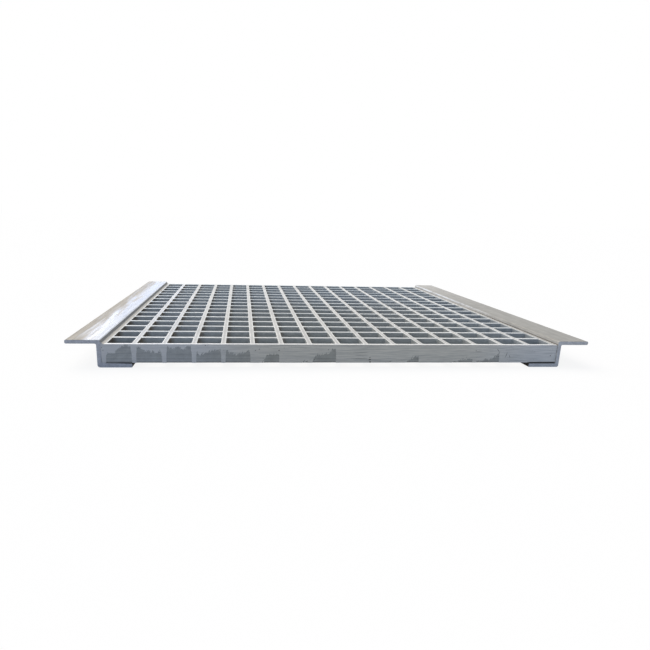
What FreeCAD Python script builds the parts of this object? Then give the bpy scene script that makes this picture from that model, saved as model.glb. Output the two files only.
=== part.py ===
import FreeCAD, Part
import os
import Sketcher

# Moulded grating trench cover: a square-mesh panel of moulded glass-fibre grating
# that lies in two pultruded Z-section edge frames. Millimetres, +Z up. The origin is
# at the middle of the footprint, on the plane under the frames' lower flanges. Bars run
# along X and Y, the frames run along Y, and the sawn front edge of the panel faces -Y.

DRIVING_DIMENSIONS = {
    "mesh_pitch": 38.1,
    "cells_across": 16,
    "cells_deep": 16,
    "bar_head": 6.5,
    "bar_foot": 5.0,
    "panel_depth": 25.0,
    "saw_left": 3.05,
    "saw_right": 2.05,
    "frame_length": 616.0,
    "frame_height": 36.5,
    "frame_wall": 5.0,
    "flange_width": 43.8,
    "corner_radius": 3.0,
    "root_radius": 3.0,
    "tip_radius": 1.8,
    "edge_round": 1.2,
    "side_gap": 0.15,
    "seat_gap": 0.02,
}

# The panel's rounded lower side edges ride in the hollow roots of the two ledges, so the
# panel lies this far above the flat of the ledge.
ROOT_SPAN = "(<<dimensions>>.root_radius - <<dimensions>>.edge_round)"
SEAT_LIFT = (
    "(" + ROOT_SPAN + " - sqrt(" + ROOT_SPAN + " ^ 2 - (" + ROOT_SPAN
    + " - <<dimensions>>.side_gap) ^ 2) + <<dimensions>>.seat_gap)"
)
PANEL_WIDTH = (
    "(<<dimensions>>.cells_across * <<dimensions>>.mesh_pitch + <<dimensions>>.bar_head)"
)
FRONT_BAR_LINE = "(<<dimensions>>.cells_deep * <<dimensions>>.mesh_pitch / 2)"
SIDE_BAR_LINE = "(<<dimensions>>.cells_across * <<dimensions>>.mesh_pitch / 2)"
WEB_FACE = "(" + PANEL_WIDTH + " / 2 + <<dimensions>>.side_gap)"

# How near an edge's end lies to the spot that names it, and how far along Y an edge
# runs at least to count as a lengthwise one.
SPOT_TOLERANCE = 0.01
SHORTEST_LENGTH = 1.0


def make_sheet(doc):
    sheet = doc.addObject("Spreadsheet::Sheet", "dimensions")
    sheet.Label = "dimensions"
    for row, (name, value) in enumerate(DRIVING_DIMENSIONS.items(), start=1):
        sheet.set("A%d" % row, name)
        sheet.set("B%d" % row, str(value))
        sheet.setAlias("B%d" % row, name)
    doc.recompute()
    return sheet


def origin_feature(body, role):
    return next(item for item in body.Origin.OriginFeatures if item.Role == role)


def new_sketch(body, name, plane_role):
    sketch = body.newObject("Sketcher::SketchObject", name)
    sketch.AttachmentSupport = [(origin_feature(body, plane_role), "")]
    sketch.MapMode = "FlatFace"
    return sketch


def add_loop(sketch, corners):
    """Closed loop of straight lines. Line i runs from corner i to corner i + 1."""
    count = len(corners)
    for index in range(count):
        start = FreeCAD.Vector(*corners[index], 0)
        end = FreeCAD.Vector(*corners[(index + 1) % count], 0)
        sketch.addGeometry(Part.LineSegment(start, end), False)
    for index in range(count):
        sketch.addConstraint(Sketcher.Constraint("Coincident", index, 2, (index + 1) % count, 1))


def add_size(sketch, name, constraint, expression):
    number = sketch.addConstraint(constraint)
    sketch.renameConstraint(number, name)
    sketch.setExpression("Constraints." + name, expression)


def lengthwise_edges(shape, spots):
    """Names of the edges along Y that pass through the given (x, z) spots."""
    names = []
    for number, edge in enumerate(shape.Edges, start=1):
        ends = [vertex.Point for vertex in edge.Vertexes]
        if len(ends) != 2 or abs(ends[0].y - ends[1].y) < SHORTEST_LENGTH:
            continue
        for x, z in spots:
            if abs(ends[0].x - x) < SPOT_TOLERANCE and abs(ends[0].z - z) < SPOT_TOLERANCE:
                names.append("Edge%d" % number)
    if len(names) != len(spots):
        raise RuntimeError("lengthwise edges not found: %s" % spots)
    return names


def round_edges(body, base, name, spots, radius_cell):
    fillet = body.newObject("PartDesign::Fillet", name)
    fillet.Base = (base, lengthwise_edges(base.Shape, spots))
    fillet.setExpression("Radius", "<<dimensions>>." + radius_cell)
    body.Document.recompute()
    return fillet


def make_frame(doc, sheet, label, turned):
    """Z section along Y. Drawn with the web's inner face on x = 0 and the top flange
    towards -X; the right-hand frame is the same stock turned half round."""
    wall = float(sheet.frame_wall)
    height = float(sheet.frame_height)
    top_tip = -float(sheet.flange_width)
    lower_tip = float(sheet.flange_width) - wall

    body = doc.addObject("PartDesign::Body", label)
    body.Label = label
    section = [
        (-wall, 0),
        (lower_tip, 0),
        (lower_tip, wall),
        (0, wall),
        (0, height),
        (top_tip, height),
        (top_tip, height - wall),
        (-wall, height - wall),
    ]
    profile = new_sketch(body, label + "_section", "XZ_Plane")
    add_loop(profile, section)
    for line in range(len(section)):
        direction = "Horizontal" if line % 2 == 0 else "Vertical"
        profile.addConstraint(Sketcher.Constraint(direction, line))
    profile.addConstraint(Sketcher.Constraint("PointOnObject", 0, 1, -1))
    profile.addConstraint(Sketcher.Constraint("PointOnObject", 3, 1, -2))
    add_size(profile, "lower_width", Sketcher.Constraint("DistanceX", 0, 1, 0, 2, lower_tip + wall),
             "<<dimensions>>.flange_width")
    add_size(profile, "lower_thickness", Sketcher.Constraint("DistanceY", 1, 1, 1, 2, wall),
             "<<dimensions>>.frame_wall")
    add_size(profile, "web_thickness", Sketcher.Constraint("DistanceX", 0, 1, 2, 2, wall),
             "<<dimensions>>.frame_wall")
    add_size(profile, "web_height", Sketcher.Constraint("DistanceY", 3, 1, 3, 2, height - wall),
             "<<dimensions>>.frame_height - <<dimensions>>.frame_wall")
    add_size(profile, "top_width", Sketcher.Constraint("DistanceX", 4, 2, 4, 1, -top_tip),
             "<<dimensions>>.flange_width")
    add_size(profile, "top_thickness", Sketcher.Constraint("DistanceY", 5, 2, 5, 1, wall),
             "<<dimensions>>.frame_wall")
    doc.recompute()

    bar = body.newObject("PartDesign::Pad", label + "_length")
    bar.Profile = profile
    bar.SideType = "Symmetric"
    bar.setExpression("Length", "<<dimensions>>.frame_length")
    doc.recompute()

    roots = round_edges(body, bar, label + "_roots",
                        [(0, wall), (-wall, height - wall)], "root_radius")
    corners = round_edges(body, roots, label + "_corners",
                          [(-wall, 0), (0, height)], "corner_radius")
    tips = round_edges(body, corners, label + "_tips",
                       [(lower_tip, 0), (lower_tip, wall),
                        (top_tip, height), (top_tip, height - wall)], "tip_radius")
    body.Tip = tips

    side = 1 if turned else -1
    half_turn = 180 if turned else 0
    body.Placement = FreeCAD.Placement(FreeCAD.Vector(0, 0, 0),
                                       FreeCAD.Rotation(FreeCAD.Vector(0, 0, 1), half_turn))
    body.setExpression("Placement.Base.x", "%d * %s" % (side, WEB_FACE))
    doc.recompute()
    return body


def cell_wedge(body, name, centre_x, centre_y):
    """Cell through the panel, wider at the foot because the bars thin downwards. The
    wedge stands on the XZ plane's axes, so its own Y is up and its own Z is towards -Y."""
    wedge = body.newObject("PartDesign::SubtractiveWedge", name)
    wedge.AttachmentSupport = [(origin_feature(body, "XZ_Plane"), "")]
    wedge.MapMode = "FlatFace"
    wedge.setExpression("AttachmentOffset.Base.x", centre_x)
    wedge.setExpression("AttachmentOffset.Base.z", "-(%s)" % centre_y)
    half_foot = "(<<dimensions>>.mesh_pitch - <<dimensions>>.bar_foot) / 2"
    half_mouth = "(<<dimensions>>.mesh_pitch - <<dimensions>>.bar_head) / 2"
    wedge.Ymin = 0
    wedge.setExpression("Ymax", "<<dimensions>>.panel_depth")
    for axis in ("X", "Z"):
        wedge.setExpression(axis + "min", "-" + half_foot)
        wedge.setExpression(axis + "max", half_foot)
        wedge.setExpression(axis + "2min", "-" + half_mouth)
        wedge.setExpression(axis + "2max", half_mouth)
    body.Document.recompute()
    return wedge


def mesh_pattern(body, name, axis_role, count_cell):
    pattern = body.newObject("PartDesign::LinearPattern", name)
    pattern.Direction = (origin_feature(body, axis_role), [""])
    pattern.Mode = "Spacing"
    pattern.setExpression("Offset", "<<dimensions>>.mesh_pitch")
    pattern.setExpression("Occurrences", "<<dimensions>>." + count_cell)
    return pattern


def make_panel(doc, sheet):
    pitch = float(sheet.mesh_pitch)
    half_width = (sheet.cells_across * pitch + float(sheet.bar_head)) / 2
    front_line = sheet.cells_deep * pitch / 2
    front_left = front_line + float(sheet.saw_left)
    front_right = front_line + float(sheet.saw_right)
    back = float(sheet.frame_length) / 2

    body = doc.addObject("PartDesign::Body", "grating_panel")
    body.Label = "grating_panel"

    # The saw runs a little askew: it grazes the front bar at the left and goes
    # deeper into it towards the right.
    outline = new_sketch(body, "panel_outline", "XY_Plane")
    add_loop(outline, [
        (-half_width, -front_left),
        (half_width, -front_right),
        (half_width, back),
        (-half_width, back),
    ])
    for line, direction in ((1, "Vertical"), (2, "Horizontal"), (3, "Vertical")):
        outline.addConstraint(Sketcher.Constraint(direction, line))
    add_size(outline, "right_side", Sketcher.Constraint("DistanceX", -1, 1, 1, 1, half_width),
             PANEL_WIDTH + " / 2")
    add_size(outline, "left_side", Sketcher.Constraint("DistanceX", 3, 1, -1, 1, half_width),
             PANEL_WIDTH + " / 2")
    add_size(outline, "back_edge", Sketcher.Constraint("DistanceY", -1, 1, 2, 1, back),
             "<<dimensions>>.frame_length / 2")
    add_size(outline, "front_left", Sketcher.Constraint("DistanceY", 0, 1, -1, 1, front_left),
             FRONT_BAR_LINE + " + <<dimensions>>.saw_left")
    add_size(outline, "front_right", Sketcher.Constraint("DistanceY", 0, 2, -1, 1, front_right),
             FRONT_BAR_LINE + " + <<dimensions>>.saw_right")
    doc.recompute()

    slab = body.newObject("PartDesign::Pad", "panel_slab")
    slab.Profile = outline
    slab.setExpression("Length", "<<dimensions>>.panel_depth")
    doc.recompute()

    first_x = "<<dimensions>>.mesh_pitch / 2 - " + SIDE_BAR_LINE
    first_y = "<<dimensions>>.mesh_pitch / 2 - " + FRONT_BAR_LINE
    cell = cell_wedge(body, "cell", first_x, first_y)
    check_cut(slab, cell)
    mesh = body.newObject("PartDesign::MultiTransform", "mesh")
    mesh.Originals = [cell]
    mesh.Transformations = [
        mesh_pattern(body, "cells_along_x", "X_Axis", "cells_across"),
        mesh_pattern(body, "cells_along_y", "Y_Axis", "cells_deep"),
    ]
    body.Tip = mesh
    doc.recompute()
    check_cut(cell, mesh)

    # The next row of cells lies outside the saw cut. What it leaves of the front bar is
    # the bar's own sloping face, in shallow pockets between the sawn bar stubs.
    outer_cell = cell_wedge(body, "outer_cell", first_x, first_y + " - <<dimensions>>.mesh_pitch")
    check_cut(mesh, outer_cell)
    front_pockets = mesh_pattern(body, "front_pockets", "X_Axis", "cells_across")
    front_pockets.Originals = [outer_cell]
    body.Tip = front_pockets
    doc.recompute()
    check_cut(outer_cell, front_pockets)

    body.Tip = round_edges(body, front_pockets, "lower_side_edges",
                           [(-half_width, 0), (half_width, 0)], "edge_round")

    body.setExpression("Placement.Base.z", "<<dimensions>>.frame_wall + " + SEAT_LIFT)
    doc.recompute()
    return body


def check_cut(before, after):
    if not after.Shape.Volume < before.Shape.Volume:
        raise RuntimeError("%s cuts nothing" % after.Name)


def check_document(doc, sub_parts):
    for item in doc.Objects:
        if "Invalid" in item.State or "Error" in item.State:
            raise RuntimeError("%s failed: %s" % (item.Name, item.State))
    for sub_part in sub_parts:
        shape = sub_part.Shape
        if shape.isNull() or not shape.isValid() or len(shape.Solids) != 1:
            raise RuntimeError("%s has no single valid solid" % sub_part.Label)


def main():
    doc = FreeCAD.newDocument("trench_cover")
    sheet = make_sheet(doc)
    sub_parts = [
        make_panel(doc, sheet),
        make_frame(doc, sheet, "z_frame_left", turned=False),
        make_frame(doc, sheet, "z_frame_right", turned=True),
    ]
    check_document(doc, sub_parts)

    os.makedirs("parts", exist_ok=True)
    for sub_part in sub_parts:
        shape = sub_part.Shape
        shape.exportStep("parts/%s.step" % sub_part.Label)
        box = shape.BoundBox
        print("%s: %.0f mm3, %d faces, x %.2f to %.2f, y %.2f to %.2f, z %.2f to %.2f" % (
            sub_part.Label, shape.Volume, len(shape.Faces),
            box.XMin, box.XMax, box.YMin, box.YMax, box.ZMin, box.ZMax))


main()
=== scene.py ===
import math

import bmesh
import bpy
from mathutils import Matrix, Vector, noise


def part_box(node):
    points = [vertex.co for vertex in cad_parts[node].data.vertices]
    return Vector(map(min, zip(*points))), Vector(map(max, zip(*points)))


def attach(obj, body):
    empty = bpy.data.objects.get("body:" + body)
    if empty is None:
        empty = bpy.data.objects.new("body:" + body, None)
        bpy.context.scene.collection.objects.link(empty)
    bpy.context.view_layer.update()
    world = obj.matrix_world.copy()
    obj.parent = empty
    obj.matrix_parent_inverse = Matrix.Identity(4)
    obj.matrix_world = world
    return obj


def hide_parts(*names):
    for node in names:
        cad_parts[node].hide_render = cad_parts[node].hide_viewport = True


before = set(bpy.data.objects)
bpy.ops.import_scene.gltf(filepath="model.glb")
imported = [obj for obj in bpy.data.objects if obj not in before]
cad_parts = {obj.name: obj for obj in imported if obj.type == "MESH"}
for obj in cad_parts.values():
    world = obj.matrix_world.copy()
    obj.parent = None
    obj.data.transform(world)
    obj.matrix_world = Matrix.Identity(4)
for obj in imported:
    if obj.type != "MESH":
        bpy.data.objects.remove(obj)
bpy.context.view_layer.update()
print("frame loaded:", ", ".join(sorted(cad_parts)))

mm = 0.001
weldGap = 0.01 * mm                      # points closer than this become one
hardAngle = math.radians(38)             # edges sharper than this aren't shaded smooth
fromRange = ("From Min", "From Max")     # a Map Range's two ends, which take a pair
toRange = ("To Min", "To Max")


# sRGB hex text to linear RGBA
def linear(hexText):
    channels = [int(hexText[i:i + 2], 16) / 255 for i in (1, 3, 5)]
    return [c / 12.92 if c <= 0.04045 else ((c + 0.055) / 1.055) ** 2.4 for c in channels] + [1.0]


# One node with its settings. An input given a node or a socket is linked, anything else is a value.
# Several inputs named together take as many values.
def addNode(tree, kind, inputs=None, **settings):
    node = tree.nodes.new(kind)
    for name, value in settings.items():
        setattr(node, name, value)
    for names, values in (inputs or {}).items():
        pairs = zip(names, values) if isinstance(names, tuple) else [(names, values)]
        for key, value in pairs:
            named = [s for s in node.inputs if s.enabled and s.name == key]
            socket = named[0] if named else node.inputs[key]
            if isinstance(value, bpy.types.Node):
                value = next(s for s in value.outputs if s.enabled)
            if isinstance(value, bpy.types.NodeSocket):
                tree.links.new(value, socket)
            else:
                socket.default_value = value
    return node


def newMaterial(name):
    material = bpy.data.materials.new(name)
    material.use_nodes = True
    material.node_tree.nodes.clear()
    return material, material.node_tree


def addObject(name, data):
    thing = bpy.data.objects.new(name, data)
    bpy.context.scene.collection.objects.link(thing)
    return thing


# Camera, set up as the photograph was taken: low, a little left of the middle, turned right and down.
viewpoint = dict(
    place=(-128.8 * mm, -966.2 * mm, 191.9 * mm),
    turnRight=math.radians(5.666),
    lookDown=math.radians(14.774),
    roll=math.radians(1.500),
    lens=28.605,
    sensor=36,
    shift=(0.05225, 0.04554),
    clip=(0.01, 200),
)


def makeCamera():
    data = bpy.data.cameras.new("camera")
    data.sensor_width = viewpoint["sensor"]
    data.lens = viewpoint["lens"]
    data.shift_x, data.shift_y = viewpoint["shift"]
    data.clip_start, data.clip_end = viewpoint["clip"]
    camera = addObject("camera", data)
    turn = Matrix.Rotation(-viewpoint["turnRight"], 4, "Z")
    tilt = Matrix.Rotation(math.pi / 2 - viewpoint["lookDown"], 4, "X")
    roll = Matrix.Rotation(viewpoint["roll"], 4, "Z")
    camera.matrix_world = Matrix.Translation(viewpoint["place"]) @ turn @ tilt @ roll
    bpy.context.scene.camera = camera


makeCamera()
bpy.context.scene.view_settings.view_transform = "Standard"
print("camera set")


# Studio: a wide soft lamp high behind the left shoulder of the cover, cool fill all round, pale floor.
studio = dict(
    fillColour="#c3d0e4", fillStrength=0.62,
    fillLean=(-0.30, -0.30, 0.10),     # the fill is stronger from the front left
    keyColour="#fff3e2", keyStrength=2.45, keySpread=math.radians(55), keyFrom=(-0.36, 0.48, 0.80),
    # strips of sky low behind the left frame: name, colour, strength, place in X and Z, width and height
    strips=(("lowStrip", "#a4c4ff", 1.15, -1.10, 0.55, 0.90, 0.60),
            ("highStrip", "#fbfcff", 2.4, -1.70, 1.08, 0.85, 0.40)),
    stripBehind=4.0,
    floorColour="#ffffff", floorBounce="#c4c4c2", floorSize=400.0,
    floorShadow=0.12,     # how much of the cover's shadow the pale floor shows
)


# 1 for rays that see the backdrop itself, 0 for rays that only bring its light
def seenRays(tree):
    path = addNode(tree, "ShaderNodeLightPath").outputs
    seen = path["Is Camera Ray"]
    for ray in ("Is Glossy Ray", "Is Transmission Ray"):
        seen = addNode(tree, "ShaderNodeMath", {0: seen, 1: path[ray]}, operation="MAXIMUM")
    return seen


def makeWorld():
    world = bpy.data.worlds.new("studioAir")
    bpy.context.scene.world = world
    world.use_nodes = True
    tree = world.node_tree
    tree.nodes.clear()
    towards = addNode(tree, "ShaderNodeTexCoord").outputs["Generated"]
    lean = addNode(tree, "ShaderNodeVectorMath", {0: towards, 1: studio["fillLean"]},
                   operation="DOT_PRODUCT")
    even = studio["fillStrength"]
    strength = addNode(tree, "ShaderNodeMath", {0: lean, 1: even, 2: even}, operation="MULTIPLY_ADD")
    fill = addNode(tree, "ShaderNodeBackground",
                   {"Color": linear(studio["fillColour"]), "Strength": strength})
    white = addNode(tree, "ShaderNodeBackground", {"Color": linear(studio["floorColour"]), "Strength": 1.0})
    mix = addNode(tree, "ShaderNodeMixShader", {0: seenRays(tree), 1: fill, 2: white})
    addNode(tree, "ShaderNodeOutputWorld", {"Surface": mix})


def makeKeyLamp():
    data = bpy.data.lights.new("keyLamp", "SUN")
    data.color = linear(studio["keyColour"])[:3]
    data.energy = studio["keyStrength"]
    data.angle = studio["keySpread"]
    lamp = addObject("keyLamp", data)
    lamp.rotation_euler = Vector(studio["keyFrom"]).to_track_quat("Z", "Y").to_euler()


# The strips show only as the sheen on what is glossy there
def makeStrips():
    for name, colour, strength, x, z, width, height in studio["strips"]:
        data = bpy.data.lights.new(name, "AREA")
        data.shape = "RECTANGLE"
        data.color = linear(colour)[:3]
        data.size, data.size_y = width, height
        data.energy = strength * math.pi * data.size * data.size_y
        lamp = addObject(name, data)
        lamp.location = (x, studio["stripBehind"], z)
        lamp.rotation_euler = Vector((0, 1, 0)).to_track_quat("Z", "Y").to_euler()
        lamp.visible_camera = False
        lamp.visible_diffuse = False


def makeFloor():
    material, tree = newMaterial("studioFloor")
    bounce = addNode(tree, "ShaderNodeBsdfDiffuse", {"Color": linear(studio["floorBounce"])})
    glow = addNode(tree, "ShaderNodeEmission", {"Color": linear(studio["floorColour"]), "Strength": 1.0})
    paint = addNode(tree, "ShaderNodeBsdfDiffuse", {"Color": linear(studio["floorColour"])})
    pale = addNode(tree, "ShaderNodeMixShader", {0: studio["floorShadow"], 1: glow, 2: paint})
    mix = addNode(tree, "ShaderNodeMixShader", {0: seenRays(tree), 1: bounce, 2: pale})
    addNode(tree, "ShaderNodeOutputMaterial", {"Surface": mix})
    material.cycles.emission_sampling = "NONE"     # its glow is only seen, it lights nothing
    mesh = bpy.data.meshes.new("floor")
    half = studio["floorSize"] / 2
    corners = [(-half, -half, 0), (half, -half, 0), (half, half, 0), (-half, half, 0)]
    mesh.from_pydata(corners, [], [(0, 1, 2, 3)])
    mesh.materials.append(material)
    floor = addObject("floor", mesh)


makeWorld()
makeKeyLamp()
makeStrips()
makeFloor()
print("studio set")


# Runs a node tree on an object and gives back a plain mesh object of the result.
def bakeTree(source, tree, values, name):
    modifier = source.modifiers.new(tree.name, "NODES")
    modifier.node_group = tree
    for item in tree.interface.items_tree:
        if item.item_type == "SOCKET" and item.in_out == "INPUT" and item.name in values:
            modifier[item.identifier] = values[item.name]
    bpy.context.scene.collection.objects.link(source)
    graph = bpy.context.evaluated_depsgraph_get()
    mesh = bpy.data.meshes.new_from_object(source.evaluated_get(graph), depsgraph=graph)
    source.modifiers.remove(modifier)
    bpy.data.objects.remove(source)
    mesh.name = name
    return addObject(name, mesh)


def newTree(name, inputs):
    tree = bpy.data.node_groups.new(name, "GeometryNodeTree")
    for socketName, kind in inputs.items():
        tree.interface.new_socket(socketName, in_out="INPUT", socket_type=kind)
    tree.interface.new_socket("Geometry", in_out="OUTPUT", socket_type="NodeSocketGeometry")
    return tree, addNode(tree, "NodeGroupInput").outputs


# Where a point of a surface lies, in millimetres, and which way it faces
def surfaceCoords(tree):
    coords = addNode(tree, "ShaderNodeTexCoord").outputs["Object"]
    place = addNode(tree, "ShaderNodeVectorMath", {0: coords, "Scale": 1 / mm}, operation="SCALE")
    axes = addNode(tree, "ShaderNodeSeparateXYZ", {0: place}).outputs
    normal = addNode(tree, "ShaderNodeNewGeometry").outputs["Normal"]
    facing = addNode(tree, "ShaderNodeSeparateXYZ", {0: normal}).outputs
    return place, axes, facing


# Moulded grating panel
panel = dict(
    node="grating_panel",
    cells=16,
    barHead=6.5 * mm,
    barFoot=5.0 * mm,
    cellCorner=2.0 * mm,
    dishDepth=0.18 * mm,       # resin shrinks as it cures and leaves the bar tops hollow
    crossingDip=0.08 * mm,     # and a little more where bars cross
    dishRing=0.45,             # where the hollow gets a row of points, as a share of half a bar
    lipWidth=0.45 * mm,
    lipDrop=0.22 * mm,
    lipFoot=1.3 * mm,
    edgeRound=1.2 * mm,        # lower side edges
    footRound=0.5 * mm,        # lower edge of the moulded pockets
    sawLeft=3.05 * mm,         # saw cut, in front of the front bar's centre line
    sawRight=2.05 * mm,
    stubFillet=0.6 * mm,       # where a pocket meets the sawn stub beside it
    rimSteps=(0.42, 0.72, 0.86, 1.0),     # rows of points from an outer bar's centre line to its edge
    faceStep=0.8 * mm,
    faceRows=22,
    roundSteps=(1.0, 0.3, 0.0),           # rows of points down the rounded lower edge
    nearLine=0.5 * mm,         # slack for what lies on an outer bar's centre line
    pastLine=1.0 * mm,         # what is further out than this is on an outer face
    # how much of each pocket's height the saw left untouched, at even steps along the pocket
    untouched=((0.45, 0.55, 0.60, 0.85, 0.85, 0.90, 0.85), (0.75, 0.80, 0.65, 0.60, 0.60, 0.55, 0.65),
               (0.85, 0.85, 0.85, 0.80, 0.75, 0.95, 0.95), (0.60, 0.50, 0.55, 0.60, 0.65, 0.70, 0.70),
               (0.75, 0.55, 0.55, 0.50, 0.55, 0.65, 0.70), (-0.10, 0.0, 0.05, 0.35, 0.45, 0.50, 0.55),
               (-0.25, 0.10), (0.05, 0.40, 0.45, 0.45, 0.50, 0.70, 0.75), (-0.5, -0.5), (-0.3, 0.05),
               (-0.3, -0.25, -0.10, 0.10, 0.25, 0.35, 0.30), (-0.5, -0.5),
               (-0.05, 0.05, 0.10, 0.15, 0.20, 0.20, 0.20), (0.05, 0.05, 0.15, 0.25, 0.25, 0.40, 0.50),
               (-0.5, -0.1), (-0.3, -0.05)),
    # wander of that height along a pocket, and grain of the cut: size, length, noise settings and seeds
    ripple=2.2 * mm, rippleLength=16 * mm, rippleNoise=(0.6, 2.1, 4), rippleSeed=3.7, pocketSeed=1.9,
    grain=0.05 * mm, grainLength=5 * mm, grainHeight=3 * mm, grainNoise=(0.8, 2.0, 3), grainSeed=7.3,
    moulded=-1.0,              # cut depth that marks what no saw touched
    leastCut=-0.99,            # all above this is on the sawn front or back
    sawn=1.0,                  # and what it cut through
)
panelLow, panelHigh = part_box(panel["node"])
pitch = (panelHigh.x - panelLow.x - panel["barHead"]) / panel["cells"]
panelDepth = panelHigh.z - panelLow.z
barLine = pitch * panel["cells"] / 2     # outermost bars' centre lines
cellMouth = (pitch - panel["barHead"]) / 2
cellFoot = (pitch - panel["barFoot"]) / 2


# Height lost at a bar's top, by distance from the cell wall
def topDrop(distance):
    if distance < panel["lipWidth"]:
        return panel["lipDrop"] * (1 - distance / panel["lipWidth"]) ** 2
    share = (distance - panel["lipWidth"]) / (panel["barHead"] / 2 - panel["lipWidth"])
    return panel["dishDepth"] * (1 - (1 - min(share, 1)) ** 2)


# Rounded square, three points to a corner, counter-clockwise from the front left
def cellRing(half, radius):
    points = []
    for quarter in range(4):
        diagonal = math.pi * (1.25 + quarter / 2)
        middle = (half - radius) * math.sqrt(2) * Vector((math.cos(diagonal), math.sin(diagonal)))
        for angle in (diagonal - math.pi / 4, diagonal, diagonal + math.pi / 4):
            points.append(middle + radius * Vector((math.cos(angle), math.sin(angle))))
    return points


# Square with as many points, the middle one of each three at the corner
def squareRing(half, shoulder):
    points = []
    for quarter in range(4):
        turn = Matrix.Rotation(quarter * math.pi / 2, 2)
        for x, y in ((-half, -shoulder), (-half, -half), (-shoulder, -half)):
            points.append(turn @ Vector((x, y)))
    return points


# A cell with half of each bar round it, open at its outer sides
def makeCellUnit(material):
    top, bottom = panelHigh.z, panelLow.z
    corner = panel["cellCorner"]
    draft = (cellFoot - cellMouth) / panelDepth
    half = panel["barHead"] / 2
    border = squareRing(pitch / 2, cellMouth - corner)
    around = len(border)
    rings = []
    for number, point in enumerate(border):
        dip = panel["crossingDip"] if number % 3 == 1 else 0
        rings.append(point.to_3d() + Vector((0, 0, top - topDrop(half) - dip)))
    for distance in (panel["dishRing"] * half, panel["lipWidth"], 0):
        for point in cellRing(cellMouth + distance, corner + distance):
            rings.append(point.to_3d() + Vector((0, 0, top - topDrop(distance))))
    for depth in (panel["lipFoot"], panelDepth):
        for point in cellRing(cellMouth + draft * depth, corner + draft * depth):
            rings.append(point.to_3d() + Vector((0, 0, top - depth)))
    for point in border:
        rings.append(point.to_3d() + Vector((0, 0, bottom)))
    faces = []
    for ring in range(len(rings) // around - 1):
        for step in range(around):
            here, onward = ring * around + step, ring * around + (step + 1) % around
            faces.append((here, onward, onward + around, here + around))
    mesh = bpy.data.meshes.new("cellUnit")
    mesh.from_pydata(rings, [], faces)
    mesh.materials.append(material)
    return bpy.data.objects.new("cellUnit", mesh)


def makeMeshTree(material):
    tree, inputs = newTree("gratingMesh", {"Pitch": "NodeSocketFloat", "Cells": "NodeSocketInt",
                                           "Cell": "NodeSocketObject"})
    number = inputs["Cells"]
    steps = addNode(tree, "ShaderNodeMath", {0: number, 1: 1}, operation="SUBTRACT")
    span = addNode(tree, "ShaderNodeMath", {0: steps, 1: inputs["Pitch"]}, operation="MULTIPLY")
    centres = addNode(tree, "GeometryNodeMeshGrid",
                      {"Size X": span, "Size Y": span, "Vertices X": number, "Vertices Y": number})
    cell = addNode(tree, "GeometryNodeObjectInfo", {"Object": inputs["Cell"]}).outputs["Geometry"]
    cells = addNode(tree, "GeometryNodeInstanceOnPoints", {"Points": centres, "Instance": cell})
    solid = addNode(tree, "GeometryNodeRealizeInstances", {"Geometry": cells})
    welded = addNode(tree, "GeometryNodeMergeByDistance", {"Geometry": solid, "Distance": weldGap})
    dressed = addNode(tree, "GeometryNodeSetMaterial", {"Geometry": welded, "Material": material})
    addNode(tree, "NodeGroupOutput", {"Geometry": dressed})
    return tree


# Ordered loop of open-edge vertices, from the front left corner towards +X
def openLoop(mesh, high):
    middle = (panelHigh.z + panelLow.z) / 2
    edges = [e for e in mesh.edges if e.is_boundary and (e.verts[0].co.z > middle) == high]
    start = min((v for e in edges for v in e.verts), key=lambda v: v.co.x + v.co.y)
    neighbours = {}
    for edge in edges:
        for one, other in (edge.verts, reversed(edge.verts)):
            neighbours.setdefault(one, []).append(other)
    loop = [start, max(neighbours[start], key=lambda v: v.co.x)]
    while True:
        onward = next(v for v in neighbours[loop[-1]] if v is not loop[-2])
        if onward is start:
            return loop
        loop.append(onward)


# Splits the open front edges into short steps, so that the sawn face can follow its ripples
def refineFront(mesh):
    for edge in [e for e in mesh.edges if e.is_boundary]:
        if max(v.co.y for v in edge.verts) < -barLine + panel["nearLine"]:
            cuts = math.ceil(edge.calc_length() / panel["faceStep"]) - 1
            bmesh.ops.subdivide_edges(mesh, edges=[edge], cuts=cuts)


def sawDepth(x):
    share = (x - panelLow.x) / (panelHigh.x - panelLow.x)
    return panel["sawLeft"] + share * (panel["sawRight"] - panel["sawLeft"])


# Inset of a quarter round at a height above its lower end
def quarterRound(height, radius):
    short = max(radius - height, 0)
    return radius - math.sqrt(radius ** 2 - short ** 2)


# Height of the untouched part of a pocket, as a share, at a share of the pocket's length
def untouchedShare(column, along):
    heights = panel["untouched"][column]
    step = min(max(along, 0), 1) * (len(heights) - 1)
    before = min(int(step), len(heights) - 2)
    return heights[before] + (heights[before + 1] - heights[before]) * (step - before)


# How deep the saw went into the moulded front face at a spot: less than nothing is a pocket it left alone
def cutDepth(x, z):
    column = min(max(int((x + barLine) // pitch), 0), panel["cells"] - 1)
    toBar = min(abs(x + barLine - column * pitch), abs(x + barLine - (column + 1) * pitch))
    height = z - panelLow.z
    draft = (panel["barHead"] - panel["barFoot"]) / 2 / panelDepth
    clear = toBar - panel["barFoot"] / 2 - draft * height     # from the stub beside it
    if clear <= 0:
        return panel["sawn"] * mm
    stub = (panel["barHead"] + panel["barFoot"]) / 4
    along = (x + barLine - column * pitch - stub) / (pitch - 2 * stub)
    spot = Vector((x / panel["rippleLength"], panel["rippleSeed"], column * panel["pocketSeed"]))
    wander = panel["ripple"] * noise.fractal(spot, *panel["rippleNoise"])
    edge = untouchedShare(column, along) * panelDepth + wander
    spot = Vector((x / panel["grainLength"], z / panel["grainHeight"], panel["grainSeed"]))
    grain = panel["grain"] * noise.fractal(spot, *panel["grainNoise"])
    return draft * (height - edge) + grain + quarterRound(clear, panel["stubFillet"])


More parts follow.
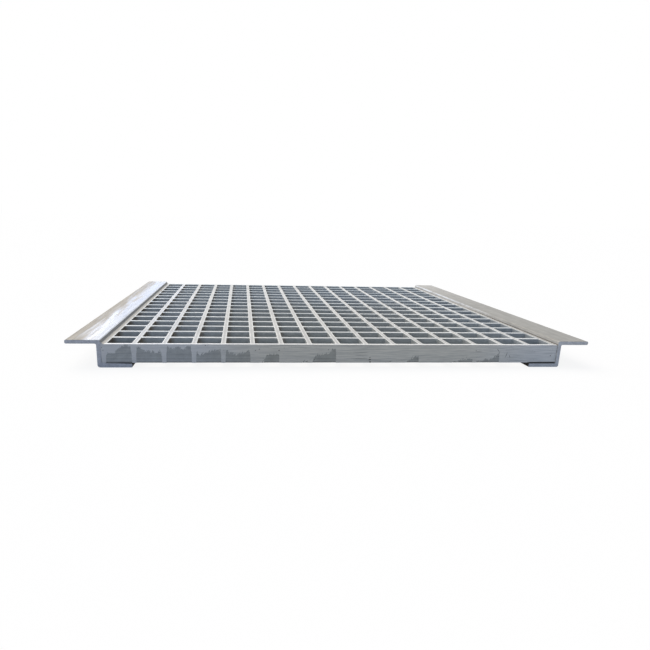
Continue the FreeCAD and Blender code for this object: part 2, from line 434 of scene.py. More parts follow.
# Which outer sides a point of the border belongs to: -1, 0 or 1 along X and along Y
def borderSides(place):
    near = barLine - panel["nearLine"]
    return [math.copysign(1, c) if abs(c) > near else 0 for c in place.xy]


# Point on the top of an outer bar, part of the way from its centre line to its outer edge
def rimPoint(place, share):
    sideX, sideY = borderSides(place)
    half = panel["barHead"] / 2
    reachY = sawDepth(place.x) if sideY < 0 else panelHigh.y - barLine
    drop = topDrop(half - share * (reachY if sideY < 0 else half))
    return Vector((place.x + sideX * half * share, place.y + sideY * reachY * share, panelHigh.z - drop))


# Point on an outer face, part of the way down from its rim
def facePoint(rim, share):
    sideX, sideY = borderSides(rim)
    z = rim.z + (panelLow.z - rim.z) * share
    height = z - panelLow.z
    x = rim.x - sideX * quarterRound(height, panel["edgeRound"])
    y = rim.y
    pocket = -cutDepth(x, z) if sideY < 0 else 0
    if pocket > 0:
        y += pocket + quarterRound(height, panel["footRound"])
    return Vector((x, y, z))


def closeEdges(mesh):
    layer = mesh.loops.layers.float.new("cutDepth")
    for face in mesh.faces:
        for loop in face.loops:
            loop[layer] = panel["moulded"]
    refineFront(mesh)
    upper, lower = openLoop(mesh, True), openLoop(mesh, False)
    rings = [upper]
    for share in panel["rimSteps"]:
        rings.append([mesh.verts.new(rimPoint(vertex.co, share)) for vertex in upper])
    rim = rings[-1]
    rounded = panel["edgeRound"] / panelDepth
    shares = [row / panel["faceRows"] for row in range(1, panel["faceRows"])]
    shares = [share for share in shares if share < 1 - rounded]
    shares += [1 - step * rounded for step in panel["roundSteps"]]
    faceRings = [[mesh.verts.new(facePoint(vertex.co, share)) for vertex in rim] for share in shares]
    rings += faceRings + [lower]

    cutLine = barLine + panel["pastLine"]
    for inner, outer in zip(rings, rings[1:]):
        onFace = outer in faceRings
        for step in range(len(upper)):
            onward = (step + 1) % len(upper)
            corners = (inner[step], outer[step], outer[onward], inner[onward])
            atFront = onFace and all(v.co.y < -cutLine for v in corners)
            atBack = onFace and all(v.co.y > cutLine for v in corners)
            for loop in mesh.faces.new(corners).loops:
                loop[layer] = panel["sawn"] if atBack else panel["moulded"]
                if atFront:
                    loop[layer] = cutDepth(loop.vert.co.x, loop.vert.co.z) / mm


def makePanel(material):
    cell = makeCellUnit(material)
    holder = bpy.data.objects.new("gratingSource", bpy.data.meshes.new("gratingSource"))
    piece = bakeTree(holder, makeMeshTree(material),
                     {"Pitch": pitch, "Cells": panel["cells"], "Cell": cell}, "gratingPanel")
    bpy.data.objects.remove(cell)
    mesh = bmesh.new()
    mesh.from_mesh(piece.data)
    closeEdges(mesh)
    bmesh.ops.recalc_face_normals(mesh, faces=mesh.faces)
    mesh.to_mesh(piece.data)
    mesh.free()
    piece.data.shade_smooth()
    piece.data.set_sharp_from_angle(angle=hardAngle)
    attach(piece, "root")
    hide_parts(panel["node"])
    print("grating panel:", len(piece.data.polygons), "faces")


# Moulded glass-fibre resin: chalky pale grey where weather reaches the bar tops, smoother slate grey down
# the cell walls, dusty and streaked where the saw laid the glass rovings open. Places and sizes are in
# millimetres, and a pair ending in At says between which values something comes in.
mouldedLook = dict(
    top="#e1e2e1", topWorn="#d1d2d1", hollow="#9d9f9f", crossSkyReflection="#bccbd6", dust="#9a948b", rim="#f0f1f2",
    wall="#b2b8bb", wallDeep="#9ca3a8", wallShade="#72624b", pocket="#90969b",
    sawn="#bfc2c7", sawnFresh="#cdd0d3", sawnStreak="#a9aeb3", pit="#55585c", chip="#4b4a48", dull="#fff9ec",
    # noise patterns: size along X, Y and Z, and detail
    grains=dict(mottle=((7.0, 7.0, 7.0), 4.0), speck=((1.6, 1.6, 1.6), 2.0),
                barTone=((160.0, 30.0, math.inf), 0.0),     # some bars are paler than others
                mouldLine=((90.0, 1.0, 1.1), 1.0),          # lines across the pockets
                streak=((26.0, 1.0, 0.9), 3.0)),            # rovings run along the sawn bar
    upwardAt=(0.35, 0.8),                # lean of the tops
    wornAt=(0.35, 0.7),
    barToneAt=(0.3, 0.7), barTones=(0.86, 1.08),
    hollowAt=(2.5, 0.8), hollowShares=(0.75, 0.2),      # grey dust in the hollow tops, front and back
    crossHollow=0.35,                    # as much of it on the cross bars
    crossAt=(2.6, 4.0), crossReflectionShares=(0.2, 0.9),         # painted reflection of the cool sky on the cross bars, front and back
    dustAndShadowAt=(5.05, 0.25),                 # brown dust and the painted shadow of the left web beside it, from the panel's left edge
    lipHighlightAt=(6.25, 4.65), lipHighlightShare=0.92,                  # painted highlight on the front bar's top along the saw cut, from the front
    deepAt=(1.5, 8.5),                   # depths below the top between which the walls darken, a painted shade
    shadedAt=(0.2, 0.9), shadedShare=0.85,              # brown painted shade on the walls turned from the light
    cornerShadeReach=12.0, cornerShadeShare=0.66,    # and how far it spreads from each cell's left corner
    plainTone=0.6, mottleTone=0.5, speckTone=0.3,
    lineAt=(0.56, 0.68), lineShare=0.4,
    # mould bands in the pockets and a dark lower edge, up from the foot
    bandFirst=3.4, bandStep=4.3, bandAt=(0.3, 1.5), bandTones=(1.12, 0.93), bandTopAt=(9.9, 7.4),
    footAt=(1.6, 0.6), footTones=(1.0, 0.7),
    freshFrom=20.0, streakLeft=0.4,      # from here on fully streaked; share of the streaks at the left end
    streakAt=(0.44, 0.68), pitAt=(0.70, 0.78),
    fringeSize=(1.1, 1.0, 5.5), fringeLean=0.45, fringeDetail=2.0,     # torn edge between moulded and sawn
    speckFray=0.08, fringeFray=0.30, bareAt=(0.18, 0.20),
    dullMiddle=40.0, dullAsideAt=(250.0, 125.0), dullAlongAt=(110.0, -60.0),     # a warm dusty patch
    dullTop=0.25, dullWall=0.6,          # its share on the tops and walls
    seatAt=(266.0, 271.0), seatRiseAt=(1.4, 0.4),       # dark seat over the right ledge
    chipReach=30.0, chipAt=(1.1, 0.7),   # how far back from the front a chip could show, and its soft edge
    # chips and scratches of the front face: place along X and Z, half length, half width, slope
    chips=((43.5, 13.5, 0.9, 0.6, 0.0), (43.5, 10.5, 1.7, 0.9, 0.0), (44.0, 7.0, 1.6, 1.0, 0.0),
           (300.0, 16.0, 0.9, 0.8, 0.0), (235.5, 17.0, 4.4, 0.3, 1.25), (240.5, 15.0, 2.2, 0.3, -1.15),
           (223.0, 23.5, 3.2, 0.3, -0.9), (224.5, 19.0, 2.8, 0.3, 1.1), (195.5, 21.5, 5.5, 0.2, 0.0),
           (191.5, 23.0, 0.9, 0.4, 0.0), (30.0, 20.0, 11.0, 0.2, 0.0), (32.0, 16.5, 10.0, 0.2, 0.0),
           (30.0, 12.0, 12.0, 0.2, 0.0), (-79.5, 23.0, 1.1, 0.6, 0.0), (-32.0, 10.5, 0.6, 0.6, 0.0),
           (-13.5, 24.0, 0.9, 0.4, 0.6), (-110.5, 23.0, 0.9, 0.5, 0.5), (-105.5, 24.5, 1.0, 0.4, 1.0),
           (-306.5, 26.5, 0.6, 0.5, 0.2), (-305.0, 23.0, 0.6, 0.5, 0.0), (-175.5, 29.5, 1.0, 0.5, 0.3)),
    wallRoughness=0.38, topRoughness=0.33, sawnRoughness=0.8,
    bump=0.35, bumpDepth=0.35 * mm, ior=1.52,
)


def makeMouldedFrp():
    material, tree = newMaterial("mouldedGlassFibreResin")
    look = mouldedLook
    low, high = panelLow / mm, panelHigh / mm
    place, (x, y, z), facing = surfaceCoords(tree)
    upward = addNode(tree, "ShaderNodeMapRange", {"Value": facing["Z"], fromRange: look["upwardAt"]})
    grains = {}
    for name, (sizes, detail) in look["grains"].items():
        stretch = addNode(tree, "ShaderNodeMapping", {"Vector": place, "Scale": [1 / size for size in sizes]})
        grains[name] = addNode(tree, "ShaderNodeTexNoise",
                               {"Vector": stretch, "Scale": 1.0, "Detail": detail})
    fromSide, fromFront, aboveFoot, belowTop = [
        addNode(tree, "ShaderNodeMath", {0: one, 1: other}, operation="SUBTRACT")
        for one, other in ((x, low.x), (y, low.y), (z, low.z), (high.z, z))]

    # bar tops
    worn = addNode(tree, "ShaderNodeMapRange", {"Value": grains["mottle"], fromRange: look["wornAt"]})
    top = addNode(tree, "ShaderNodeMix",
                  {"Factor": worn, "A": linear(look["top"]), "B": linear(look["topWorn"])}, data_type="RGBA")
    tone = addNode(tree, "ShaderNodeMapRange",
                   {"Value": grains["barTone"], fromRange: look["barToneAt"], toRange: look["barTones"]})
    top = addNode(tree, "ShaderNodeVectorMath", {0: top, "Scale": tone}, operation="SCALE")
    fromBarX, fromBarY = [addNode(tree, "ShaderNodeMath", {0: axis, 1: pitch / 2 / mm}, operation="PINGPONG")
                          for axis in (x, y)]
    dusted = addNode(tree, "ShaderNodeMapRange",
                     {"Value": y, fromRange: (low.y, high.y / 2), toRange: look["hollowShares"]})
    crossDusted = addNode(tree, "ShaderNodeMath", {0: dusted, 1: look["crossHollow"]}, operation="MULTIPLY")
    hollow = 0.0
    for distance, most in ((fromBarX, dusted), (fromBarY, crossDusted)):
        share = addNode(tree, "ShaderNodeMapRange", {"Value": distance, fromRange: look["hollowAt"],
                                                     "To Max": most}, interpolation_type="SMOOTHSTEP")
        hollow = addNode(tree, "ShaderNodeMath", {0: share, 1: hollow}, operation="MAXIMUM")
    # painted reflection of the cool sky on the cross bars, stronger towards the back
    between = addNode(tree, "ShaderNodeMapRange", {"Value": fromBarX, fromRange: look["crossAt"]})
    reflectionShare = addNode(tree, "ShaderNodeMapRange",
                     {"Value": y, fromRange: (low.y, high.y), toRange: look["crossReflectionShares"]})
    skyReflection = addNode(tree, "ShaderNodeMath", {0: between, 1: reflectionShare}, operation="MULTIPLY")
    # brown dust and the painted shadow of the left web on the bar beside it
    dustAndShadow = addNode(tree, "ShaderNodeMapRange", {"Value": fromSide, fromRange: look["dustAndShadowAt"]})
    # painted highlight on the front bar's top along the saw cut
    lipHighlight = addNode(tree, "ShaderNodeMapRange",
                    {"Value": fromFront, fromRange: look["lipHighlightAt"], "To Max": look["lipHighlightShare"]})
    for mask, paint in ((hollow, "hollow"), (skyReflection, "crossSkyReflection"), (dustAndShadow, "dust"), (lipHighlight, "rim")):
        top = addNode(tree, "ShaderNodeMix",
                      {"Factor": mask, "A": top, "B": linear(look[paint])}, data_type="RGBA")

    # painted shade: the cell walls darken downwards, and those turned from the light and each cell's left
    # corner are painted a brown shade
    deep = addNode(tree, "ShaderNodeMapRange", {"Value": belowTop, fromRange: look["deepAt"]})
    shaded = addNode(tree, "ShaderNodeMapRange",
                     {"Value": facing["X"], fromRange: look["shadedAt"], "To Max": look["shadedShare"]})
    fromLeft = addNode(tree, "ShaderNodeMath", {0: x, 1: pitch / mm}, operation="FLOORED_MODULO")
    cornered = addNode(tree, "ShaderNodeMapRange", {
        "Value": fromLeft, fromRange: (look["cornerShadeReach"], panel["barHead"] / 2 / mm),
        "To Max": look["cornerShadeShare"],
    }, interpolation_type="SMOOTHSTEP")
    paintedShade = addNode(tree, "ShaderNodeMath", {0: shaded, 1: cornered}, operation="MAXIMUM")
    cut = addNode(tree, "ShaderNodeAttribute", attribute_name="cutDepth").outputs["Fac"]
    onCutFace = addNode(tree, "ShaderNodeMath", {0: cut, 1: panel["leastCut"]}, operation="GREATER_THAN")
    wall = linear(look["wall"])
    for mask, paint in ((deep, "wallDeep"), (paintedShade, "wallShade"), (onCutFace, "pocket")):
        wall = addNode(tree, "ShaderNodeMix",
                       {"Factor": mask, "A": wall, "B": linear(look[paint])}, data_type="RGBA")
    blotch = look["plainTone"]
    for pattern, weight in ((grains["mottle"], look["mottleTone"]), (grains["speck"], look["speckTone"])):
        blotch = addNode(tree, "ShaderNodeMath", {0: pattern, 1: weight, 2: blotch}, operation="MULTIPLY_ADD")
    wall = addNode(tree, "ShaderNodeVectorMath", {0: wall, "Scale": blotch}, operation="SCALE")
    # dark lines and pale bands in the pockets, and a dark lower edge
    lined = addNode(tree, "ShaderNodeMapRange",
                    {"Value": grains["mouldLine"], fromRange: look["lineAt"], "To Max": look["lineShare"]})
    lined = addNode(tree, "ShaderNodeMath", {0: lined, 1: onCutFace}, operation="MULTIPLY")
    wall = addNode(tree, "ShaderNodeMix", {"Factor": lined, "A": wall, "B": linear(look["pit"])},
                   data_type="RGBA")
    height = addNode(tree, "ShaderNodeMath", {0: aboveFoot, 1: look["bandFirst"]}, operation="SUBTRACT")
    fromBand = addNode(tree, "ShaderNodeMath", {0: height, 1: look["bandStep"] / 2}, operation="PINGPONG")
    band = addNode(tree, "ShaderNodeMapRange",
                   {"Value": fromBand, fromRange: look["bandAt"], toRange: look["bandTones"]})
    under = addNode(tree, "ShaderNodeMapRange", {"Value": aboveFoot, fromRange: look["bandTopAt"]})
    under = addNode(tree, "ShaderNodeMath", {0: under, 1: onCutFace}, operation="MULTIPLY")
    banded = addNode(tree, "ShaderNodeMix", {"Factor": under, "A": 1.0, "B": band})
    foot = addNode(tree, "ShaderNodeMapRange",
                   {"Value": aboveFoot, fromRange: look["footAt"], toRange: look["footTones"]})
    banded = addNode(tree, "ShaderNodeMath", {0: banded, 1: foot}, operation="MULTIPLY")
    wall = addNode(tree, "ShaderNodeVectorMath", {0: wall, "Scale": banded}, operation="SCALE")
    moulded = addNode(tree, "ShaderNodeMix", {"Factor": upward, "A": wall, "B": top}, data_type="RGBA")

    # sawn: whiter and more streaked towards the right, where the saw went deeper into the glass
    fresh = addNode(tree, "ShaderNodeMapRange", {"Value": x, fromRange: (low.x, look["freshFrom"])})
    most = addNode(tree, "ShaderNodeMapRange", {"Value": fresh, "To Min": look["streakLeft"]})
    streaked = addNode(tree, "ShaderNodeMapRange",
                       {"Value": grains["streak"], fromRange: look["streakAt"], "To Max": most})
    pitted = addNode(tree, "ShaderNodeMapRange", {"Value": grains["speck"], fromRange: look["pitAt"]})
    sawn = linear(look["sawn"])
    for mask, paint in ((fresh, "sawnFresh"), (streaked, "sawnStreak"), (pitted, "pit")):
        sawn = addNode(tree, "ShaderNodeMix",
                       {"Factor": mask, "A": sawn, "B": linear(look[paint])}, data_type="RGBA")
    lean = addNode(tree, "ShaderNodeMapping", {"Vector": place, "Rotation": (0, look["fringeLean"], 0),
                                               "Scale": look["fringeSize"]}, vector_type="TEXTURE")
    fringe = addNode(tree, "ShaderNodeTexNoise",
                     {"Vector": lean, "Scale": 1.0, "Detail": look["fringeDetail"]})
    frayed = cut
    for pattern, fray in ((grains["speck"], look["speckFray"]), (fringe, look["fringeFray"])):
        frayed = addNode(tree, "ShaderNodeMath", {0: pattern, 1: fray, 2: frayed}, operation="MULTIPLY_ADD")
    bare = addNode(tree, "ShaderNodeMapRange", {"Value": frayed, fromRange: look["bareAt"]})
    colour = addNode(tree, "ShaderNodeMix", {"Factor": bare, "A": moulded, "B": sawn}, data_type="RGBA")

    # dust tints the middle of the front
    aside = addNode(tree, "ShaderNodeMath", {0: x, 1: look["dullMiddle"]}, operation="SUBTRACT")
    aside = addNode(tree, "ShaderNodeMath", {0: aside}, operation="ABSOLUTE")
    dulled = addNode(tree, "ShaderNodeMapRange",
                     {"Value": aside, fromRange: look["dullAsideAt"]}, interpolation_type="SMOOTHSTEP")
    near = addNode(tree, "ShaderNodeMapRange", {"Value": y, fromRange: look["dullAlongAt"]})
    kept = addNode(tree, "ShaderNodeMix", {"Factor": upward, "A": look["dullWall"], "B": look["dullTop"]})
    kept = addNode(tree, "ShaderNodeMath", {0: kept, 1: onCutFace}, operation="MAXIMUM")
    for mask in (near, kept):
        dulled = addNode(tree, "ShaderNodeMath", {0: dulled, 1: mask}, operation="MULTIPLY")
    colour = addNode(tree, "ShaderNodeMix", {"Factor": dulled, "A": colour, "B": linear(look["dull"])},
                     data_type="RGBA", blend_type="MULTIPLY")

    # the dark seat, chips and scratches
    seat = addNode(tree, "ShaderNodeMapRange", {"Value": x, fromRange: look["seatAt"]})
    edge = addNode(tree, "ShaderNodeMapRange", {"Value": aboveFoot, fromRange: look["seatRiseAt"]})
    seat = addNode(tree, "ShaderNodeMath", {0: seat, 1: edge}, operation="MULTIPLY")
    chipped = 0.0
    for chipX, chipZ, length, width, slope in look["chips"]:
        spot = addNode(tree, "ShaderNodeMapping", {
            "Vector": place, "Location": (chipX, low.y, chipZ), "Rotation": (0, -slope, 0),
            "Scale": (length, look["chipReach"], width),
        }, vector_type="TEXTURE")
        away = addNode(tree, "ShaderNodeVectorMath", {0: spot}, operation="LENGTH")
        dark = addNode(tree, "ShaderNodeMapRange", {"Value": away, fromRange: look["chipAt"]})
        chipped = addNode(tree, "ShaderNodeMath", {0: dark, 1: chipped}, operation="MAXIMUM")
    for mask in (seat, chipped):
        mask = addNode(tree, "ShaderNodeMath", {0: mask, 1: onCutFace}, operation="MULTIPLY")
        colour = addNode(tree, "ShaderNodeMix",
                         {"Factor": mask, "A": colour, "B": linear(look["chip"])}, data_type="RGBA")

    rough = addNode(tree, "ShaderNodeMix",
                    {"Factor": upward, "A": look["wallRoughness"], "B": look["topRoughness"]})
    rough = addNode(tree, "ShaderNodeMix", {"Factor": bare, "A": rough, "B": look["sawnRoughness"]})
    relief = addNode(tree, "ShaderNodeMix", {"Factor": bare, "A": grains["mottle"], "B": grains["streak"]})
    bump = addNode(tree, "ShaderNodeBump",
                   {"Height": relief, "Strength": look["bump"], "Distance": look["bumpDepth"]})
    shader = addNode(tree, "ShaderNodeBsdfPrincipled",
                     {"Base Color": colour, "Roughness": rough, "Normal": bump, "IOR": look["ior"]})
    addNode(tree, "ShaderNodeOutputMaterial", {"Surface": shader})
    return material


makePanel(makeMouldedFrp())


# Pultruded Z-section edge frames: one section, turned half round for the right-hand side
zFrame = dict(
    wall=5.0 * mm,
    flange=43.8 * mm,
    crownRadius=3.0 * mm,      # where the top flange turns down into the web
    cornerRadius=2.0 * mm,
    rootRadius=1.5 * mm,       # the hollow that the panel's lower edge rides in
    tipRadius=1.8 * mm,
    ledgeRadius=0.8 * mm,      # the ledge's tip is squarer
    arcSteps=7,
    stations=24,
    arris=0.35 * mm,           # broken edge round the sawn ends
    endFacing=0.9,             # faces turned this far along Y are the sawn ends
    nearWeb=0.1 * mm,          # slack for what lies on the web's inner face
    nearTop=1.0 * mm,          # slack for what lies level with the panel's top
    beadBuried=0.25 * mm,      # depth of a dirt bead's foot in the panel's hollow top
)
# Film, the corners' painted highlight and the web's painted shade come in between two places, in millimetres:
# out from the web's inner face, back from the front end or up from the panel's top
leftFrame = dict(
    name="zFrameLeft", node="z_frame_left", out=-1, finish="pultrudedFrpGlossy",
    heel=3.2 * mm, rootDirt=1.05 * mm, tipDirt=0.1 * mm,     # dirt lifts the ledge, most at its root
    # hardened dirt that fills the corner above the panel: its reach, its hollow, its head on the crown
    beadReach=4.4 * mm, beadHollow=(1.7 * mm, 0.9 * mm), beadHead=0.9 * mm,
    beadWander=0.5 * mm, beadLength=70 * mm, beadSeed=(0.3, 0.7),
    body="#c8cdd7", film="#9a968e", bare="#dfe6ee", webShade="#828281", foot="#cbc8c0", sawn="#abb0bb",
    filmOut=(9.8, 39.8), filmFar=0.75, filmEnd=0.2,
    wearAndHighlightBack=(-2.0, -1.0),
    webShadeUp=(4.75, 4.3), webShadeBack=(800.0, 700.0),
    skinRoughness=0.26, filmRoughness=0.62, tones=(1.3, 0.8, 0.3),
)
rightFrame = dict(
    name="zFrameRight", node="z_frame_right", out=1, finish="pultrudedFrpWeathered",
    heel=2.0 * mm, rootDirt=0.0, tipDirt=0.0, beadReach=0.0,
    body="#b5b3ae", film="#898883", bare="#dfe6ee", webShade="#625a50", foot="#625a50", sawn="#babec5",
    filmOut=(-18.2, -8.2), filmFar=0.4, filmEnd=0.0,
    wearAndHighlightBack=(158.0, 508.0),
    webShadeUp=(1.9, 0.3), webShadeBack=(428.0, 188.0),
    skinRoughness=0.3, filmRoughness=0.42, tones=(0.9, 0.6, 0.6),
)
frameLow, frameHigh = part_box(rightFrame["node"])
frontEnd = frameLow.y
flangeTip = frameHigh.x     # out from the middle, on either side
webInner = flangeTip - zFrame["flange"]
webOuter = webInner + zFrame["wall"]
ledgeTip = webOuter - zFrame["flange"]


# Section with its top flange outwards, each point with its radius
def zSection(out, low, high, look):
    wall = zFrame["wall"]
    inner, webOut, topTip, lowTip = [out * x for x in (webInner, webOuter, flangeTip, ledgeTip)]
    bead = []
    crown = inner
    if look["beadReach"]:
        buried = panelHigh.z - zFrame["beadBuried"]
        hollowX, hollowZ = look["beadHollow"]
        bead = [(inner, buried, 0), (inner - out * look["beadReach"], buried, 0),
                (inner - out * hollowX, panelHigh.z + hollowZ, zFrame["crownRadius"])]
        crown += out * look["beadHead"]
    return [
        (webOut, low, look["heel"]),
        (lowTip, low, zFrame["ledgeRadius"]),
        (lowTip, low + wall + look["tipDirt"], zFrame["ledgeRadius"]),
        (inner, low + wall + look["rootDirt"], zFrame["rootRadius"]),
        *bead,
        (crown, high, zFrame["crownRadius"]),
        (topTip, high, zFrame["tipRadius"]),
        (topTip, high - wall, zFrame["tipRadius"]),
        (webOut, high - wall, zFrame["cornerRadius"]),
    ]


def makeSweepTree(material):
    tree, inputs = newTree("pultrudedSweep", {"Section": "NodeSocketGeometry", "Front": "NodeSocketFloat",
                                              "Back": "NodeSocketFloat", "Stations": "NodeSocketInt",
                                              "Arc Steps": "NodeSocketInt"})
    radius = addNode(tree, "GeometryNodeInputRadius")
    rounded = addNode(tree, "GeometryNodeFilletCurve", {"Curve": inputs["Section"], "Radius": radius,
                                                        "Count": inputs["Arc Steps"]}, mode="POLY")
    start, end = [addNode(tree, "ShaderNodeCombineXYZ", {"Y": inputs[name]}) for name in ("Front", "Back")]
    rail = addNode(tree, "GeometryNodeCurvePrimitiveLine", {"Start": start, "End": end})
    rail = addNode(tree, "GeometryNodeResampleCurve", {"Curve": rail, "Count": inputs["Stations"]})
    swept = addNode(tree, "GeometryNodeCurveToMesh",
                    {"Curve": rail, "Profile Curve": rounded, "Fill Caps": True})
    solid = addNode(tree, "GeometryNodeRealizeInstances", {"Geometry": swept})
    dressed = addNode(tree, "GeometryNodeSetMaterial", {"Geometry": solid, "Material": material})
    addNode(tree, "NodeGroupOutput", {"Geometry": dressed})
    return tree


def makeFrame(look):
    name, out = look["name"], look["out"]
    low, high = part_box(look["node"])
    section = zSection(out, low.z, high.z, look)
    curve = bpy.data.curves.new(name, "CURVE")
    curve.dimensions = "3D"
    spline = curve.splines.new("POLY")
    spline.points.add(len(section) - 1)
    spline.use_cyclic_u = True
    for point, (x, z, radius) in zip(spline.points, section):
        point.co = (x, -z, 0, 1)     # the sweep turns a section's Y to -Z
        point.radius = radius
    source = bpy.data.objects.new(name + "Source", curve)
    piece = bakeTree(source, makeSweepTree(makePultrudedFrp(look)),
                     {"Front": low.y, "Back": high.y, "Stations": zFrame["stations"],
                      "Arc Steps": zFrame["arcSteps"]}, name)
    mesh = bmesh.new()
    mesh.from_mesh(piece.data)
    bmesh.ops.remove_doubles(mesh, verts=mesh.verts, dist=weldGap)
    bmesh.ops.recalc_face_normals(mesh, faces=mesh.faces)
    sawn = [f for f in mesh.faces if abs(f.normal.y) > zFrame["endFacing"]]
    arris = {edge for face in sawn for edge in face.edges
             if min(abs(v.co.x) for v in edge.verts) > webInner + zFrame["nearWeb"]
             or min(v.co.z for v in edge.verts) > panelHigh.z + zFrame["nearTop"]}
    if look["beadReach"]:
        seedX, seedZ = look["beadSeed"]
        for vertex in mesh.verts:
            place = vertex.co
            if abs(place.x) < webInner - zFrame["nearWeb"] and place.z > panelHigh.z - zFrame["nearTop"]:
                spot = Vector((seedX, place.y / look["beadLength"], seedZ))
                place.x += look["beadWander"] * noise.noise(spot)
    bmesh.ops.bevel(mesh, geom=list(arris), offset=zFrame["arris"], segments=1, affect="EDGES")
    mesh.to_mesh(piece.data)
    mesh.free()
    piece.data.shade_smooth()
    piece.data.set_sharp_from_angle(angle=hardAngle)
    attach(piece, "root")
    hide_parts(look["node"])
    print(name + ":", len(piece.data.polygons), "faces")


# Pultruded glass-fibre resin: pulled through a die, so everything runs lengthwise. A smooth resin skin with
# fine pale and dark streaks, a weathered film on the top flange, matt sawn ends. Its places are measured as
# the frames' are.
pultrudedLook = dict(
    # streaks and blotches, widest last: size across and along the frame
    patterns=((1.6, 180.0), (6.0, 90.0), (14.0, 22.0)), patternDetail=2.0,
    upwardAt=(0.1, 0.6), endAt=(0.6, 0.9),     # lean of the tops and of the sawn ends
    filmBroad=1.6, filmFine=0.5, filmAt=(1.25, 1.85),     # how far the film's edge follows the die lines
    filmFarAt=(308.0, 608.0), filmEndAt=(38.0, 2.0),
    cornerAt=(0.15, 0.4), wornAt=(0.36, 0.56), wornLeast=0.25,
    insideFace=4.3, webShadeLow=-0.3, footAt=(1.8, 0.8),
    # painted shade on the ledge's tip and on its top under the panel
    tipFace=-37.3, ledgeEnd=-0.7, tipShade="#25221f", underShadeAt=(28.0, 12.0), underShadeLeast=0.45,
    sawnMottle=0.6,     # share of the die lines' tones that the fibre ends show
    webShadeRoughness=0.7, sawnRoughness=0.75, underShadeRoughness=1.0, roughnessWander=0.3,
    bump=0.08, bumpDepth=0.2 * mm, ior=1.54,
)


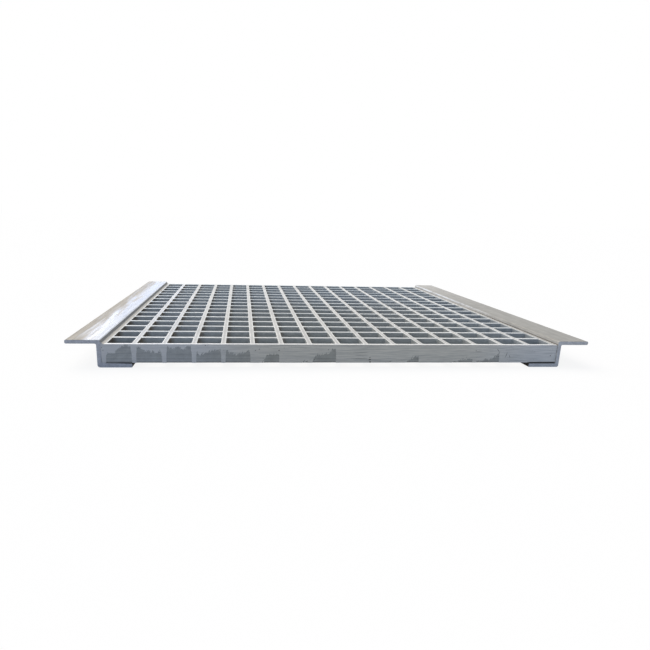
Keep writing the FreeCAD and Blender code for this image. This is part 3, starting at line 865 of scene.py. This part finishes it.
def makePultrudedFrp(look):
    material, tree = newMaterial(look["finish"])
    stock = pultrudedLook
    place, (x, y, z), facing = surfaceCoords(tree)
    upward = addNode(tree, "ShaderNodeMapRange", {"Value": facing["Z"], fromRange: stock["upwardAt"]})
    sideways, endways, aside = [addNode(tree, "ShaderNodeMath", {0: value}, operation="ABSOLUTE")
                                for value in (facing["X"], facing["Y"], x)]
    outward, back, up = [addNode(tree, "ShaderNodeMath", {0: axis, 1: start / mm}, operation="SUBTRACT")
                         for axis, start in ((aside, webInner), (y, frontEnd), (z, panelHigh.z))]
    atEnd = addNode(tree, "ShaderNodeMapRange", {"Value": endways, fromRange: stock["endAt"]})
    inside, tip, ledge = [addNode(tree, "ShaderNodeMath", {0: outward, 1: stock[edge]}, operation="LESS_THAN")
                          for edge in ("insideFace", "tipFace", "ledgeEnd")]

    # die lines and blotches
    patterns = []
    tone = 1.0
    for (across, along), weight in zip(stock["patterns"], look["tones"]):
        stretch = addNode(tree, "ShaderNodeMapping",
                          {"Vector": place, "Scale": (1 / across, 1 / along, 1 / across)})
        pattern = addNode(tree, "ShaderNodeTexNoise",
                          {"Vector": stretch, "Scale": 1.0, "Detail": stock["patternDetail"]})
        offset = addNode(tree, "ShaderNodeMath", {0: pattern, 1: 0.5}, operation="SUBTRACT")
        tone = addNode(tree, "ShaderNodeMath", {0: offset, 1: weight, 2: tone}, operation="MULTIPLY_ADD")
        patterns.append(pattern)
    fine, broad, blotch = patterns

    # weathered film on the top flange, with an edge that follows the die lines
    edge = addNode(tree, "ShaderNodeMapRange", {"Value": outward, fromRange: look["filmOut"]}, clamp=False)
    for pattern, wander in ((broad, "filmBroad"), (fine, "filmFine")):
        edge = addNode(tree, "ShaderNodeMath",
                       {0: pattern, 1: stock[wander], 2: edge}, operation="MULTIPLY_ADD")
    ended = addNode(tree, "ShaderNodeMapRange",
                    {"Value": back, fromRange: stock["filmEndAt"], "To Max": look["filmEnd"]})
    edge = addNode(tree, "ShaderNodeMath", {0: edge, 1: ended}, operation="ADD")
    filmed = addNode(tree, "ShaderNodeMapRange", {"Value": edge, fromRange: stock["filmAt"]})
    thin = addNode(tree, "ShaderNodeMapRange",
                   {"Value": back, fromRange: stock["filmFarAt"], toRange: (1.0, look["filmFar"])})
    # painted highlight along the rounded corners, where the film is rubbed off
    corner = addNode(tree, "ShaderNodeMath", {0: sideways, 1: facing["Z"]}, operation="MULTIPLY")
    corner = addNode(tree, "ShaderNodeMapRange", {"Value": corner, fromRange: stock["cornerAt"]})
    wearAndHighlight = addNode(tree, "ShaderNodeMapRange", {"Value": back, fromRange: look["wearAndHighlightBack"]})
    worn = addNode(tree, "ShaderNodeMapRange",
                   {"Value": blotch, fromRange: stock["wornAt"], "To Min": stock["wornLeast"]})
    for mask in (corner, inside, worn):
        wearAndHighlight = addNode(tree, "ShaderNodeMath", {0: wearAndHighlight, 1: mask}, operation="MULTIPLY")
    kept = addNode(tree, "ShaderNodeMath", {0: 1.0, 1: wearAndHighlight}, operation="SUBTRACT")
    for mask in (upward, thin, kept):
        filmed = addNode(tree, "ShaderNodeMath", {0: filmed, 1: mask}, operation="MULTIPLY")
    colour = addNode(tree, "ShaderNodeMix", {"Factor": filmed, "A": linear(look["body"]),
                                             "B": linear(look["film"])}, data_type="RGBA")
    colour = addNode(tree, "ShaderNodeVectorMath", {0: colour, "Scale": tone}, operation="SCALE")

    # painted shade on the web's inner face, where it meets the panel's edge
    paintedShade = addNode(tree, "ShaderNodeMapRange", {"Value": up, fromRange: look["webShadeUp"]})
    near = addNode(tree, "ShaderNodeMapRange", {"Value": back, fromRange: look["webShadeBack"]})
    above, under = [addNode(tree, "ShaderNodeMath", {0: up, 1: stock["webShadeLow"]}, operation=side)
                    for side in ("GREATER_THAN", "LESS_THAN")]
    for mask in (inside, above, near):
        paintedShade = addNode(tree, "ShaderNodeMath", {0: paintedShade, 1: mask}, operation="MULTIPLY")
    footed = addNode(tree, "ShaderNodeMapRange", {"Value": up, fromRange: stock["footAt"]})
    webShade = addNode(tree, "ShaderNodeMix", {"Factor": footed, "A": linear(look["webShade"]),
                                            "B": linear(look["foot"])}, data_type="RGBA")
    # painted shade on the ledge's tip and on its top under the panel, darkest at the front
    front = addNode(tree, "ShaderNodeMapRange",
                    {"Value": back, fromRange: stock["underShadeAt"], "To Min": stock["underShadeLeast"]})
    for mask in (upward, under, front):
        ledge = addNode(tree, "ShaderNodeMath", {0: ledge, 1: mask}, operation="MULTIPLY")
    underShade = addNode(tree, "ShaderNodeMath", {0: tip, 1: ledge}, operation="MAXIMUM")
    # sawn ends, with the die lines' tones
    mottle = stock["sawnMottle"]
    mottled = addNode(tree, "ShaderNodeMath", {0: tone, 1: mottle, 2: 1 - mottle}, operation="MULTIPLY_ADD")
    sawn = addNode(tree, "ShaderNodeVectorMath", {0: linear(look["sawn"])[:3], "Scale": mottled},
                   operation="SCALE")
    # a painted highlight on the rubbed corners, painted shade on the web's inner face and under the panel,
    # then the sawn ends
    for mask, paint in ((wearAndHighlight, linear(look["bare"])), (paintedShade, webShade), (underShade, linear(stock["tipShade"])),
                        (atEnd, sawn)):
        colour = addNode(tree, "ShaderNodeMix", {"Factor": mask, "A": colour, "B": paint}, data_type="RGBA")

    rough = addNode(tree, "ShaderNodeMix",
                    {"Factor": filmed, "A": look["skinRoughness"], "B": look["filmRoughness"]})
    wander = stock["roughnessWander"]
    rough = addNode(tree, "ShaderNodeMath", {0: broad, 1: wander, 2: rough}, operation="MULTIPLY_ADD")
    rough = addNode(tree, "ShaderNodeMath", {0: rough, 1: wander / 2}, operation="SUBTRACT")
    for mask, matt in ((paintedShade, "webShadeRoughness"), (atEnd, "sawnRoughness"), (underShade, "underShadeRoughness")):
        rough = addNode(tree, "ShaderNodeMix", {"Factor": mask, "A": rough, "B": stock[matt]})
    bump = addNode(tree, "ShaderNodeBump",
                   {"Height": fine, "Strength": stock["bump"], "Distance": stock["bumpDepth"]})
    shader = addNode(tree, "ShaderNodeBsdfPrincipled",
                     {"Base Color": colour, "Roughness": rough, "Normal": bump, "IOR": stock["ior"]})
    addNode(tree, "ShaderNodeOutputMaterial", {"Surface": shader})
    return material


makeFrame(leftFrame)
makeFrame(rightFrame)
